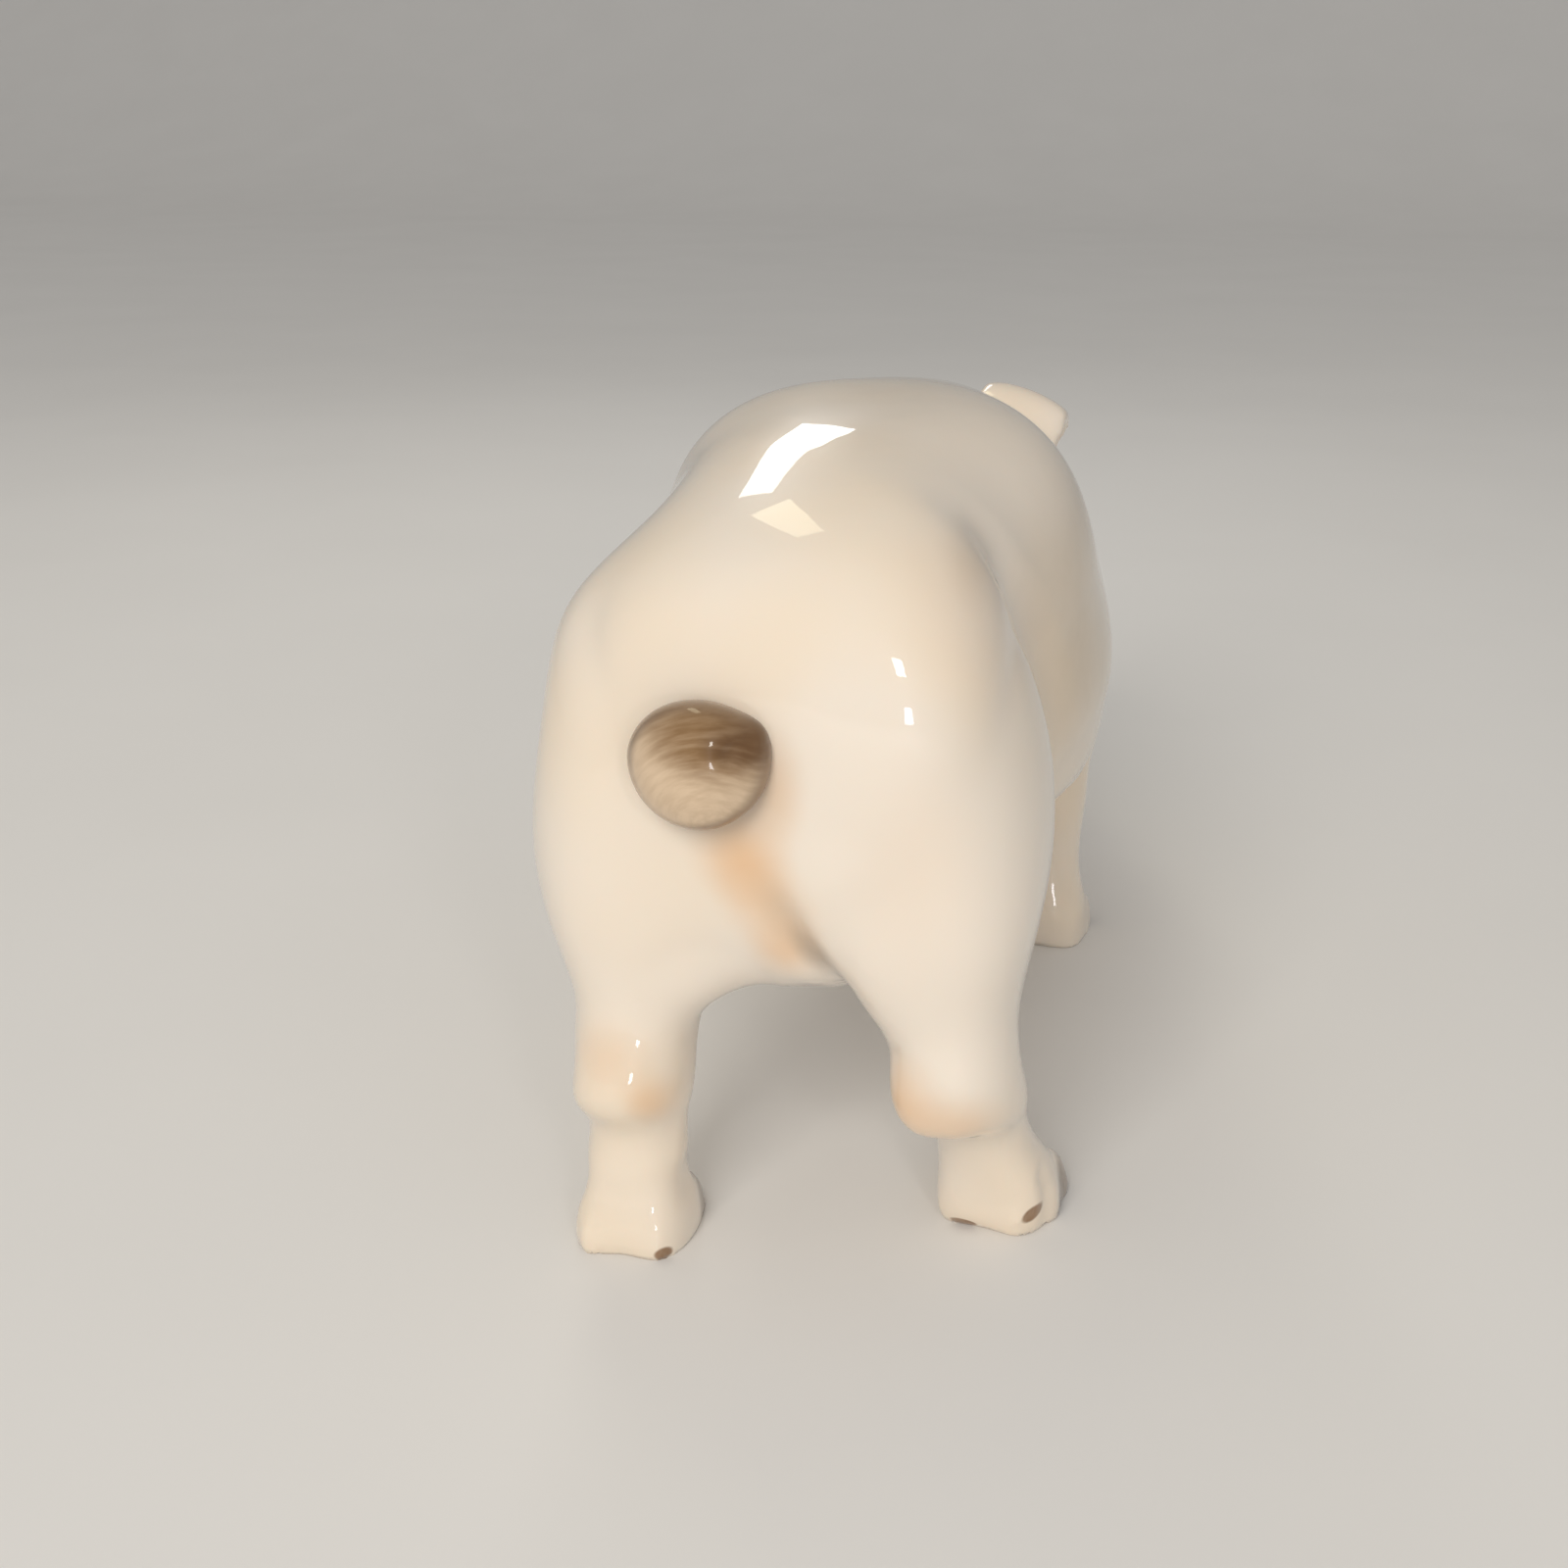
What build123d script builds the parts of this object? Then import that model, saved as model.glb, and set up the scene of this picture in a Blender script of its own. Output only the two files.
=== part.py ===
from build123d import *
import math
import os

# Glazed porcelain pig, standing in mid-step. It is slip-cast in nine pieces that are luted together:
# a hollow trunk with the hams and shoulders, a hollow head, four lower legs, two ears and a curled tail.
# Frame: +Z up, the pig faces -Y, its left side is +X, the feet stand on Z = 0, lengths in millimetres.
# A level is a height in two stretches: 0 is the ground, 1 the belly line and 2 the top of the back.

# Driving sizes of the whole pig
body_length = 130.0
body_width = 44.6
back_height = 72.3
belly_height = 24.2
trunk_depth = back_height - belly_height
outline_points = 20

# Casting
cast_wall = 3.2
vent_radius = 1.6
luting_drop = 2.4
neck_tilt = 12.0

# Hams, shoulders and legs, full sizes at their widest
ham_width = 23.4
ham_length = 32.0
shoulder_width = 17.8
shoulder_length = 21.6

# Feet
claw_length = 12.0
claw_width = 4.9
claw_height = 5.4
claw_splay = 5.0
cleft_gap = 0.4
dewclaw_width = 2.2
dewclaw_height = 2.6
dewclaw_spacing = 6.8

# Head
snout_disc_width = 14.8
snout_disc_height = 13.8
snout_disc_thickness = 2.7
snout_disc_tilt = 8.0
snout_edge_radius = 0.8
nostril_width = 2.0
nostril_height = 3.0
nostril_depth = 2.6
nostril_spacing = 4.8
eye_radius = 1.8
eye_proud = 0.5
mouth_gap = 0.6
mouth_depth = 0.9
mouth_length = 15.0
mouth_tilt = 9.0

# Ears
ear_length = 21.0
ear_width = 11.8
ear_thickness = 2.6
ear_slope = 18.0

# Tail, a thick rod that curls round on itself against the rump
tail_thickness = 6.0
tail_curl = 10.8
tail_reach = 4.6

# Where the body lies: the tail's reach behind the rump is part of the length that the origin halves
rump_y = (body_length - tail_reach) / 2
luting_level = (belly_height - luting_drop) / belly_height

# Body outline: how far along, half width, top level, bottom level, level of the widest point, squareness
body_section_shares = [
    (0.000, 0.150, 1.575, 1.445, 1.510, 2.0),
    (0.006, 0.440, 1.680, 1.265, 1.480, 2.2),
    (0.019, 0.650, 1.765, 1.135, 1.430, 2.5),
    (0.043, 0.785, 1.840, 1.045, 1.400, 2.7),
    (0.085, 0.860, 1.900, 0.990, 1.400, 2.8),
    (0.155, 0.835, 1.955, 0.980, 1.440, 2.7),
    (0.235, 0.845, 1.988, 0.990, 1.500, 2.7),
    (0.300, 0.935, 2.000, 1.003, 1.520, 2.8),
    (0.370, 0.985, 1.998, 1.005, 1.480, 2.7),
    (0.460, 0.975, 1.970, 1.000, 1.390, 2.2),
    (0.560, 0.880, 1.925, 1.016, 1.370, 2.05),
    (0.645, 0.790, 1.865, 1.050, 1.390, 2.05),
    (0.715, 0.700, 1.810, 1.090, 1.420, 2.1),
    (0.775, 0.640, 1.770, 1.110, 1.430, 2.15),
    (0.830, 0.550, 1.700, 1.120, 1.405, 2.15),
    (0.877, 0.440, 1.610, 1.135, 1.375, 2.15),
    (0.923, 0.355, 1.530, 1.155, 1.345, 2.15),
    (0.965, 0.320, 1.480, 1.175, 1.328, 2.15),
    (0.983, 0.322, 1.472, 1.184, 1.326, 2.15),
]
neck_share = 0.700
neck_level = 1.450
vent_share = 0.430
snout_level = 1.326
mouth_level = 1.250

# Legs: each row is a level, half width, reach to the front, reach to the back, and squareness
rear_leg_section_shares = [
    (1.880, 0.170, 0.130, 0.120, 2.0),
    (1.790, 0.360, 0.270, 0.240, 2.0),
    (1.650, 0.450, 0.400, 0.400, 2.0),
    (1.480, 0.495, 0.480, 0.480, 2.2),
    (1.310, 0.500, 0.465, 0.465, 2.4),
    (1.160, 0.430, 0.390, 0.395, 2.5),
    (1.050, 0.330, 0.305, 0.310, 2.3),
    (0.930, 0.250, 0.235, 0.240, 2.1),
    (0.800, 0.235, 0.195, 0.230, 2.0),
    (0.685, 0.230, 0.170, 0.240, 2.0),
    (0.590, 0.216, 0.160, 0.213, 2.0),
    (0.515, 0.193, 0.153, 0.155, 2.0),
    (0.430, 0.187, 0.150, 0.140, 2.1),
    (0.320, 0.198, 0.150, 0.148, 2.4),
    (0.205, 0.222, 0.160, 0.163, 3.0),
    (0.110, 0.230, 0.165, 0.168, 3.6),
    (0.050, 0.226, 0.160, 0.163, 4.0),
]
front_leg_section_shares = [
    (1.770, 0.160, 0.170, 0.170, 2.0),
    (1.650, 0.410, 0.390, 0.390, 2.0),
    (1.485, 0.495, 0.500, 0.500, 2.0),
    (1.320, 0.480, 0.490, 0.490, 2.0),
    (1.180, 0.415, 0.415, 0.415, 2.0),
    (1.075, 0.350, 0.345, 0.345, 2.0),
    (0.910, 0.277, 0.262, 0.262, 2.0),
    (0.700, 0.262, 0.240, 0.240, 2.1),
    (0.540, 0.236, 0.220, 0.200, 2.1),
    (0.375, 0.232, 0.205, 0.190, 2.2),
    (0.228, 0.264, 0.228, 0.228, 2.5),
    (0.108, 0.275, 0.232, 0.232, 2.6),
    (0.058, 0.243, 0.196, 0.196, 2.5),
]
# Where each leg's middle passes: level, share of the half width outwards, share of the length from the rump
leg_path_shares = {
    "rear_left_leg": [
        (1.880, 0.270, 0.125),
        (1.790, 0.405, 0.125),
        (1.650, 0.501, 0.125),
        (1.480, 0.518, 0.125),
        (1.310, 0.523, 0.115),
        (1.160, 0.530, 0.098),
        (0.930, 0.565, 0.064),
        (0.790, 0.575, 0.050),
        (0.490, 0.565, 0.044),
        (0.058, 0.565, 0.040),
    ],
    "rear_right_leg": [
        (1.880, 0.140, 0.130),
        (1.790, 0.215, 0.130),
        (1.650, 0.345, 0.130),
        (1.480, 0.425, 0.134),
        (1.310, 0.475, 0.128),
        (1.160, 0.540, 0.110),
        (0.930, 0.675, 0.082),
        (0.790, 0.715, 0.076),
        (0.490, 0.780, 0.100),
        (0.205, 0.838, 0.128),
        (0.058, 0.844, 0.138),
    ],
    "front_left_leg": [
        (1.770, 0.300, 0.655),
        (1.650, 0.345, 0.660),
        (1.485, 0.420, 0.666),
        (1.320, 0.500, 0.672),
        (1.075, 0.570, 0.685),
        (0.700, 0.600, 0.700),
        (0.375, 0.607, 0.712),
        (0.058, 0.612, 0.718),
    ],
    "front_right_leg": [
        (1.770, 0.300, 0.655),
        (1.650, 0.330, 0.658),
        (1.485, 0.370, 0.660),
        (1.320, 0.480, 0.656),
        (1.180, 0.590, 0.650),
        (1.075, 0.620, 0.640),
        (0.700, 0.625, 0.628),
        (0.375, 0.640, 0.622),
        (0.058, 0.655, 0.622),
    ],
}
# How far each foot is turned outwards, in degrees
toe_turns = {"rear_left_leg": 3, "rear_right_leg": 11, "front_left_leg": 5, "front_right_leg": 2}
# Claws: height, width, reach to the front and reach to the back of each level outline
claw_section_shares = [
    (0.00, 0.44, 0.60, 0.33),
    (0.14, 0.49, 0.64, 0.35),
    (0.50, 0.46, 0.56, 0.35),
    (0.82, 0.37, 0.40, 0.30),
    (1.00, 0.24, 0.22, 0.20),
]
claw_squareness = 2.5
# Dewclaws: height and half width of each level outline
dewclaw_section_shares = [
    (0.00, 0.22),
    (0.20, 0.42),
    (0.50, 0.50),
    (0.80, 0.38),
    (1.00, 0.18),
]
dewclaw_foot_share = 0.040
dewclaw_back_share = 0.145
eye_share = 0.858
eye_angle = 46.0

# Ears: outwards, forwards and upwards from the root in ear lengths, then width and thickness
ear_root_share = 0.735
ear_root_across_share = 0.297
ear_root_level = 1.680
ear_section_shares = [
    (0.000, -0.030, -0.050, 0.80, 1.20),
    (0.002, -0.035, 0.115, 0.90, 1.25),
    (0.008, 0.005, 0.230, 0.98, 1.30),
    (0.025, 0.110, 0.270, 0.97, 1.30),
    (0.055, 0.235, 0.200, 0.86, 1.20),
    (0.085, 0.345, 0.080, 0.60, 1.00),
    (0.105, 0.410, -0.015, 0.28, 0.65),
]

# Tail: to the left, back and up from its root in curl widths, then radius in tail thicknesses
tail_root_level = 1.556
tail_over_shares = [
    (-0.02, -0.10, 0.010, 0.25),
    (0.03, 0.06, 0.015, 0.28),
    (0.15, 0.16, 0.025, 0.35),
    (0.36, 0.17, 0.005, 0.45),
    (0.56, 0.13, -0.065, 0.48),
    (0.66, 0.09, -0.180, 0.48),
]
tail_under_shares = [
    (0.66, 0.09, -0.200, 0.48),
    (0.57, 0.12, -0.360, 0.49),
    (0.39, 0.13, -0.440, 0.50),
    (0.21, 0.13, -0.425, 0.46),
    (0.07, 0.07, -0.360, 0.39),
    (0.00, 0.00, -0.310, 0.30),
]


def height_at(level):
    """The height of a level above the ground."""
    if level <= 1:
        return level * belly_height
    return belly_height + (level - 1) * trunk_depth


def along(share):
    """The place of a share of the body's length, from the rump forwards."""
    return rump_y - share * body_length


def outline_point(angle, half_width, above, below, squareness):
    """Across and upwards to a point of a rounded closed outline, at an angle in radians."""
    cosine = math.cos(angle)
    sine = math.sin(angle)
    reach = above if sine > 0 else below
    across = half_width * math.copysign(abs(cosine) ** (2 / squareness), cosine)
    upward = reach * math.copysign(abs(sine) ** (2 / squareness), sine)
    return across, upward


def closed_outline(half_width, above, below, squareness):
    """A rounded closed curve about the sketch's origin, with its own reach above and below."""
    points = []
    for step in range(outline_points):
        angle = 2 * math.pi * step / outline_points
        points.append(outline_point(angle, half_width, above, below, squareness))
    Spline(*points, periodic=True)


def between(rows, place):
    """The values of the table's row at a place in its first column, between the two nearest rows."""
    for first, second in zip(rows, rows[1:]):
        if min(first[0], second[0]) <= place <= max(first[0], second[0]):
            part = (place - first[0]) / (second[0] - first[0])
            return [a + part * (b - a) for a, b in zip(first[1:], second[1:])]
    return rows[-1][1:]


def body_form(inset=0.0):
    """The whole body from rump to snout as one smooth loft, drawn in all round by an inset."""
    with BuildPart() as form:
        for share, width_share, top, bottom, widest, squareness in body_section_shares:
            if not inset <= share * body_length <= body_length - 2 * inset:
                continue
            half_width = width_share * body_width / 2 - inset
            above = height_at(top) - height_at(widest) - inset
            below = height_at(widest) - height_at(bottom) - inset
            centre = (0, along(share), height_at(widest))
            with BuildSketch(Plane(origin=centre, x_dir=(1, 0, 0), z_dir=(0, -1, 0))):
                with BuildLine():
                    closed_outline(half_width, above, below, squareness)
                make_face()
        loft()
    return form.part


def skin_point(share, angle, side, inset=0.0):
    """A point of the body's skin at a share of the length, an angle up from level, on one side."""
    width_share, top, bottom, widest, squareness = between(body_section_shares, share)
    above = height_at(top) - height_at(widest)
    below = height_at(widest) - height_at(bottom)
    half_width = width_share * body_width / 2
    across, upward = outline_point(math.radians(angle), half_width, above, below, squareness)
    drawn_in = 1 - inset / half_width
    return (side * across * drawn_in, along(share), height_at(widest) + upward * drawn_in)


def leg_centre(name, level):
    """The middle of a leg at a level."""
    side = 1 if "left" in name else -1
    across, forward = between(leg_path_shares[name], level)
    return (side * across * body_width / 2, along(forward), height_at(level))


def leg_form(name):
    """One leg from inside the trunk down to its heel, as one loft of level sections."""
    rear = "rear" in name
    width = ham_width if rear else shoulder_width
    length = ham_length if rear else shoulder_length
    rows = rear_leg_section_shares if rear else front_leg_section_shares
    with BuildPart() as form:
        for level, width_share, front_share, back_share, squareness in rows:
            with BuildSketch(Plane(origin=leg_centre(name, level))):
                with BuildLine():
                    back = length * back_share
                    front = length * front_share
                    closed_outline(width * width_share, back, front, squareness)
                make_face()
        loft()
    return form.part


def foot_plane(name, offset=0.0):
    """The ground under a foot, turned outwards with it, raised by an offset."""
    side = 1 if "left" in name else -1
    turn = math.radians(side * toe_turns[name])
    across, forward, _ = leg_centre(name, leg_path_shares[name][-1][0])
    return Plane(origin=(across, forward, offset), x_dir=(math.cos(turn), math.sin(turn), 0))


def claw_form(name, claw_side):
    """One claw of a foot, as a loft of level outlines, splayed from its neighbour."""
    ground = foot_plane(name)
    middle = ground.from_local_coords((claw_side * (claw_width + cleft_gap) / 2, 0, 0))
    x_dir = ground.x_dir.rotate(Axis.Z, claw_side * claw_splay)
    with BuildPart() as form:
        for height_share, width_share, front_share, back_share in claw_section_shares:
            origin = middle + Vector(0, 0, height_share * claw_height)
            with BuildSketch(Plane(origin=origin, x_dir=x_dir)):
                with BuildLine():
                    front = claw_length * front_share
                    back = claw_length * back_share
                    closed_outline(claw_width * width_share, back, front, claw_squareness)
                make_face()
        loft()
    return form.part


def dewclaw_form(name, claw_side):
    """A small claw at the back of a foot, as a loft of round level outlines."""
    length = ham_length if "rear" in name else shoulder_length
    ground = foot_plane(name)
    middle = ground.from_local_coords((claw_side * dewclaw_spacing / 2, dewclaw_back_share * length, 0))
    with BuildPart() as form:
        for height_share, width_share in dewclaw_section_shares:
            height = dewclaw_foot_share * belly_height + height_share * dewclaw_height
            with BuildSketch(Plane(origin=middle + Vector(0, 0, height))):
                Circle(dewclaw_width * width_share)
        loft()
    return form.part


def rod_form(rows, across, backward, upward, size, thickness):
    """A curved rod with round sections and rounded ends, by shares of a size from a root point."""
    places = []
    for left_share, back_share, up_share, _ in rows:
        places.append(Vector(across, backward, upward) + size * Vector(left_share, back_share, up_share))
    with BuildPart() as form:
        for index, row in enumerate(rows):
            before = places[max(index - 1, 0)]
            after = places[min(index + 1, len(rows) - 1)]
            with BuildSketch(Plane(origin=places[index], z_dir=after - before)):
                Circle(row[3] * thickness)
        loft()
        with Locations(places[0]):
            Sphere(rows[0][3] * thickness)
        with Locations(places[-1]):
            Sphere(rows[-1][3] * thickness)
    return form.part


def ear_form():
    """The left ear as a thin leaf that rises from the head and folds over forwards."""
    root_across = ear_root_across_share * body_width / 2
    root = Vector(root_across, along(ear_root_share), height_at(ear_root_level))
    slope = math.radians(ear_slope)
    width_dir = Vector(math.cos(slope), 0, -math.sin(slope))
    places = []
    for out_share, forward_share, up_share, _, _ in ear_section_shares:
        places.append(root + ear_length * Vector(out_share, -forward_share, up_share))
    with BuildPart() as form:
        for index, row in enumerate(ear_section_shares):
            before = places[max(index - 1, 0)]
            after = places[min(index + 1, len(places) - 1)]
            with BuildSketch(Plane(origin=places[index], x_dir=width_dir, z_dir=after - before)):
                Ellipse(row[3] * ear_width / 2, row[4] * ear_thickness / 2)
        loft()
    return form.part


os.makedirs("parts", exist_ok=True)

body = body_form()
cavity = body_form(cast_wall)
legs = {name: leg_form(name) for name in leg_path_shares}
tilt = math.radians(neck_tilt)
neck_plane = Plane(
    origin=(0, along(neck_share), height_at(neck_level)),
    x_dir=(1, 0, 0),
    z_dir=(0, -math.cos(tilt), math.sin(tilt)),
)
luting_plane = Plane.XY.offset(height_at(luting_level))

# Trunk: a hollow casting with the hams and shoulders, open at the neck, with a vent in the belly
with BuildPart() as trunk:
    add(body)
    split(bisect_by=neck_plane, keep=Keep.BOTTOM)
    for name in leg_path_shares:
        add(legs[name])
    split(bisect_by=luting_plane, keep=Keep.TOP)
    add(cavity, mode=Mode.SUBTRACT)
    with BuildSketch(luting_plane):
        with Locations((0, along(vent_share))):
            Circle(vent_radius)
    extrude(amount=luting_drop + 2 * cast_wall, mode=Mode.SUBTRACT)
trunk.part.label = "trunk"
export_step(trunk.part, "parts/trunk.step")

# Head: a hollow casting, open at the neck, with the snout's disc, nostrils, mouth line and eyes
disc_tilt = math.radians(snout_disc_tilt)
disc_dir = Vector(0, -math.cos(disc_tilt), -math.sin(disc_tilt))
disc_lean = snout_disc_height / 2 * math.sin(disc_tilt)
disc_centre = Vector(0, along(1) + snout_disc_thickness + disc_lean, height_at(snout_level))
disc_plane = Plane(origin=disc_centre, x_dir=(1, 0, 0), z_dir=disc_dir)
with BuildPart() as snout_disc:
    with BuildSketch(disc_plane):
        Ellipse(snout_disc_width / 2, snout_disc_height / 2)
    extrude(amount=snout_disc_thickness)
    disc_face = snout_disc.faces().sort_by(Axis.Y)[0]
    fillet(disc_face.edges(), radius=snout_edge_radius)
with BuildPart() as mouth:
    mouth_slope = math.radians(mouth_tilt)
    mouth_dir = Vector(0, math.cos(mouth_slope), math.sin(mouth_slope))
    mouth_start = Vector(0, disc_centre.Y + mouth_gap, height_at(mouth_level))
    with BuildSketch(Plane(origin=mouth_start, x_dir=(1, 0, 0), z_dir=mouth_dir)):
        Rectangle(body_width, mouth_gap)
    extrude(amount=mouth_length)
    add(body_form(mouth_depth), mode=Mode.SUBTRACT)
with BuildPart() as head:
    add(body)
    split(bisect_by=neck_plane, keep=Keep.TOP)
    for name in ("front_left_leg", "front_right_leg"):
        add(legs[name], mode=Mode.SUBTRACT)
    add(snout_disc.part)
    add(cavity, mode=Mode.SUBTRACT)
    with BuildSketch(disc_plane.offset(snout_disc_thickness)):
        with Locations((-nostril_spacing / 2, 0), (nostril_spacing / 2, 0)):
            Ellipse(nostril_width / 2, nostril_height / 2)
    extrude(amount=-nostril_depth, mode=Mode.SUBTRACT)
    add(mouth.part, mode=Mode.SUBTRACT)
    with Locations(skin_point(eye_share, eye_angle, 1, eye_radius - eye_proud)):
        Sphere(eye_radius)
    with Locations(skin_point(eye_share, eye_angle, -1, eye_radius - eye_proud)):
        Sphere(eye_radius)
head.part.label = "head"
export_step(head.part, "parts/head.step")

# Lower legs: solid castings that are luted on under the hams and shoulders, each with two claws and dewclaws
for name in leg_path_shares:
    with BuildPart() as lower_leg:
        add(legs[name])
        split(bisect_by=luting_plane, keep=Keep.BOTTOM)
        for claw_side in (-1, 1):
            add(claw_form(name, claw_side))
            add(dewclaw_form(name, claw_side))
    lower_leg.part.label = name
    export_step(lower_leg.part, f"parts/{name}.step")

# Ears: leaves that are luted on the top of the head
with BuildPart() as left_ear:
    add(ear_form())
    add(body, mode=Mode.SUBTRACT)
left_ear.part.label = "left_ear"
export_step(left_ear.part, "parts/left_ear.step")
with BuildPart() as right_ear:
    mirror(left_ear.part, about=Plane.YZ)
right_ear.part.label = "right_ear"
export_step(right_ear.part, "parts/right_ear.step")

# Tail: luted on the middle of the rump, it goes left, turns down and comes back under itself
tail_root = height_at(tail_root_level)
with BuildPart() as tail:
    add(rod_form(tail_over_shares, 0, rump_y, tail_root, tail_curl, tail_thickness))
    add(rod_form(tail_under_shares, 0, rump_y, tail_root, tail_curl, tail_thickness))
    add(trunk.part, mode=Mode.SUBTRACT)
tail.part.label = "tail"
export_step(tail.part, "parts/tail.step")
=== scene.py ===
import math

import bmesh
import bpy
import numpy as np
from mathutils import Matrix, Quaternion, Vector


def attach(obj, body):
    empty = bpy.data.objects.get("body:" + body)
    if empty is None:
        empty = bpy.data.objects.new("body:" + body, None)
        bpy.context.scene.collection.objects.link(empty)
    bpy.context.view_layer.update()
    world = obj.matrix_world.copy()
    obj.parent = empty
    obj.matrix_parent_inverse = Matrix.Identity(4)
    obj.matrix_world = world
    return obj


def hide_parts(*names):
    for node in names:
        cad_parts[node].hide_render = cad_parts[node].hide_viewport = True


# Glazed porcelain pig. The castings are joined and glazed over, so one skin of glaze covers the trunk,
# head, ears and legs. Places are written in millimetres. The pig faces -Y, its left side is +X and its
# feet are on Z = 0.
MM = 0.001

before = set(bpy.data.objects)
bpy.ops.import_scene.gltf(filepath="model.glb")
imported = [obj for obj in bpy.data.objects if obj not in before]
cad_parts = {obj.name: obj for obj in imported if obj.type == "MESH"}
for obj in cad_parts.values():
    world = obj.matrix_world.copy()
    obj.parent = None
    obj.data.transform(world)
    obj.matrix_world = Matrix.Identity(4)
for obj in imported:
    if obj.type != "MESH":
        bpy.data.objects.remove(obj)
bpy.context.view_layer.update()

# The skin of glaze
SKIN_GRAIN = 0.6
WELD_REACH = 0.001
VENT_PLUG_PLACE = (0.0, 6.8, 27.2)
VENT_PLUG_RADIUS = 2.4
VENT_PLUG_HEIGHT = 3.0
VENT_PLUG_SIDES = 24
SNOUT_FINE_REACH = 9.5
EYE_FINE_REACHES = (5.5, 3.2)

# Smoothing: how far one round moves the points towards their neighbours, or back from them
RELAX_SHARE = 0.5
DRAW_IN = 0.50
LET_OUT = 0.52

# Where the body and the ears are smoothed, and for how many rounds
FIRST_ROUNDS = 3
BODY_ROUNDS = 60
FOOT_HEIGHT = 22.0
FOOT_FADE = 6
NECK_Y = -28.0
NECK_FADE = 8
EAR_ROUNDS = 20
EAR_HEIGHT = 55
EAR_FADE = 3

# The camera stands behind the pig and looks down at it
LENS_MM = 45.0
SENSOR_MM = 36.0
CAMERA_PLACE = (-40.94, 205.47, 100.8)
CAMERA_TURN = math.radians(15)
CAMERA_PITCH = math.radians(20)

# The camera's range and the stage, in metres
CAMERA_NEAR = 0.01
CAMERA_FAR = 20
FLOOR_REACH = 3.0
BACKDROP_DISTANCE = 1.2
BACKDROP_BEND = 0.6
BACKDROP_HEIGHT = 1.5
BACKDROP_STEPS = 16

# Lamps: name, place, target, power in watts, size, colour, roll in degrees, and whether the glaze shows it
WARM = (1, 0.96, 0.90)
LAMPS = [
    ("soft_key", (60, 760, 520), (0, 30, 35), 3.5, (380, 380), WARM, 0, False),
    ("far_window", (150, -302, 319), (0, 45, 68), 0.15, (56, 185), (1, 0.98, 0.94), -43, True),
    ("ceiling_glow", (138, -160, 490), (0, 54, 66), 0.11, (66, 190), (1, 0.90, 0.62), 0, True),
    ("right_upper", (-225, 450, 235), (0, 50, 45), 0.17, (55, 62), WARM, 0, True),
    ("right_lower", (-225, 450, 65), (0, 50, 45), 0.12, (55, 55), (0.94, 0.94, 1), 0, True),
]
ROOM_COLOUR = (1, 0.98, 0.95, 1)
ROOM_STRENGTH = 0.42

# Colours of the underglaze paints, and of the painted shade
CREAM = (0.87, 0.745, 0.595)
IVORY = (0.87, 0.780, 0.675)
PEACH = (0.80, 0.50, 0.265)
# Olive is partly a tint on the back and partly painted shade on the right flank and beside the right ham
OLIVE_TINT_AND_SHADE = (0.48, 0.370, 0.245)
# Brown is painted shade, in the folds and under the tail
SHADE_BROWN = (0.50, 0.34, 0.20)
# Painted shade in the fold under the tail, the mouth, the nostrils and the vent
SHADE = (0.33, 0.25, 0.18)
PINK = (0.80, 0.42, 0.33)
HOOF = (0.19, 0.135, 0.095)
DEWCLAW = (0.23, 0.115, 0.042)
EYE_BROWN = (0.055, 0.026, 0.014)
TAIL_DARK = (0.13, 0.062, 0.022)
TAIL_BROWN = (0.25, 0.140, 0.055)
TAIL_TAN = (0.70, 0.535, 0.370)

# The floor's two tones, and the size of their clouds
FLOOR_TONES = ((0.80, 0.79, 0.775), (0.84, 0.83, 0.815))
FLOOR_CLOUD_SIZE = 60
FLOOR_ROUGHNESS = 0.8

# The glaze: its roughness, its clear coat, and how deep light goes in
COAT_ROUGHNESS = 0.02
SPECULAR = 0.2
BODY_ROUGHNESS = 0.30
BODY_COAT = 1.0
TAIL_ROUGHNESS = 0.28
TAIL_COAT = 0.8
DEPTH_WEIGHT = 0.10
DEPTH_RATIO = (1.0, 0.6, 0.4)
DEPTH_REACH = 1.5

# Clouds in the glaze, uneven spray, brush strokes, specks and waves
PLAIN_DETAIL = 1
FINE_DETAIL = 3
CLOUD_SIZE = 34
CLOUD_EDGES = (0.40, 0.60)
SPRAY_GRAIN = 6
SPRAY_LEAST = 0.7
SPRAY_SWING = 0.6
BRUSH_GRAIN = 1.3
BRUSH_STRETCH = (1, 1, 0.35)
BRUSH_LEAST = 0.55
BRUSH_SWING = 0.7
SPECK_SIZE = 0.9
SPECK_EDGES = (0.74, 0.80)
SPECK_HEIGHT = 0.12
WAVE_SIZE = 9
WAVE_DEPTH = 0.05

# The colour mixing node's sockets: share, under and over, and its result
MIX_INPUTS = (0, 6, 7)
MIX_OUTPUT = 2


def new_object(name, mesh):
    """A new object at the origin that holds a mesh."""
    piece = bpy.data.objects.new(name, mesh)
    bpy.context.scene.collection.objects.link(piece)
    return piece


def finish_mesh(piece):
    """Applies the piece's modifiers to its mesh."""
    graph = bpy.context.evaluated_depsgraph_get()
    mesh = bpy.data.meshes.new_from_object(piece.evaluated_get(graph))
    piece.modifiers.clear()
    old = piece.data
    piece.data = mesh
    bpy.data.meshes.remove(old)


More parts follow.
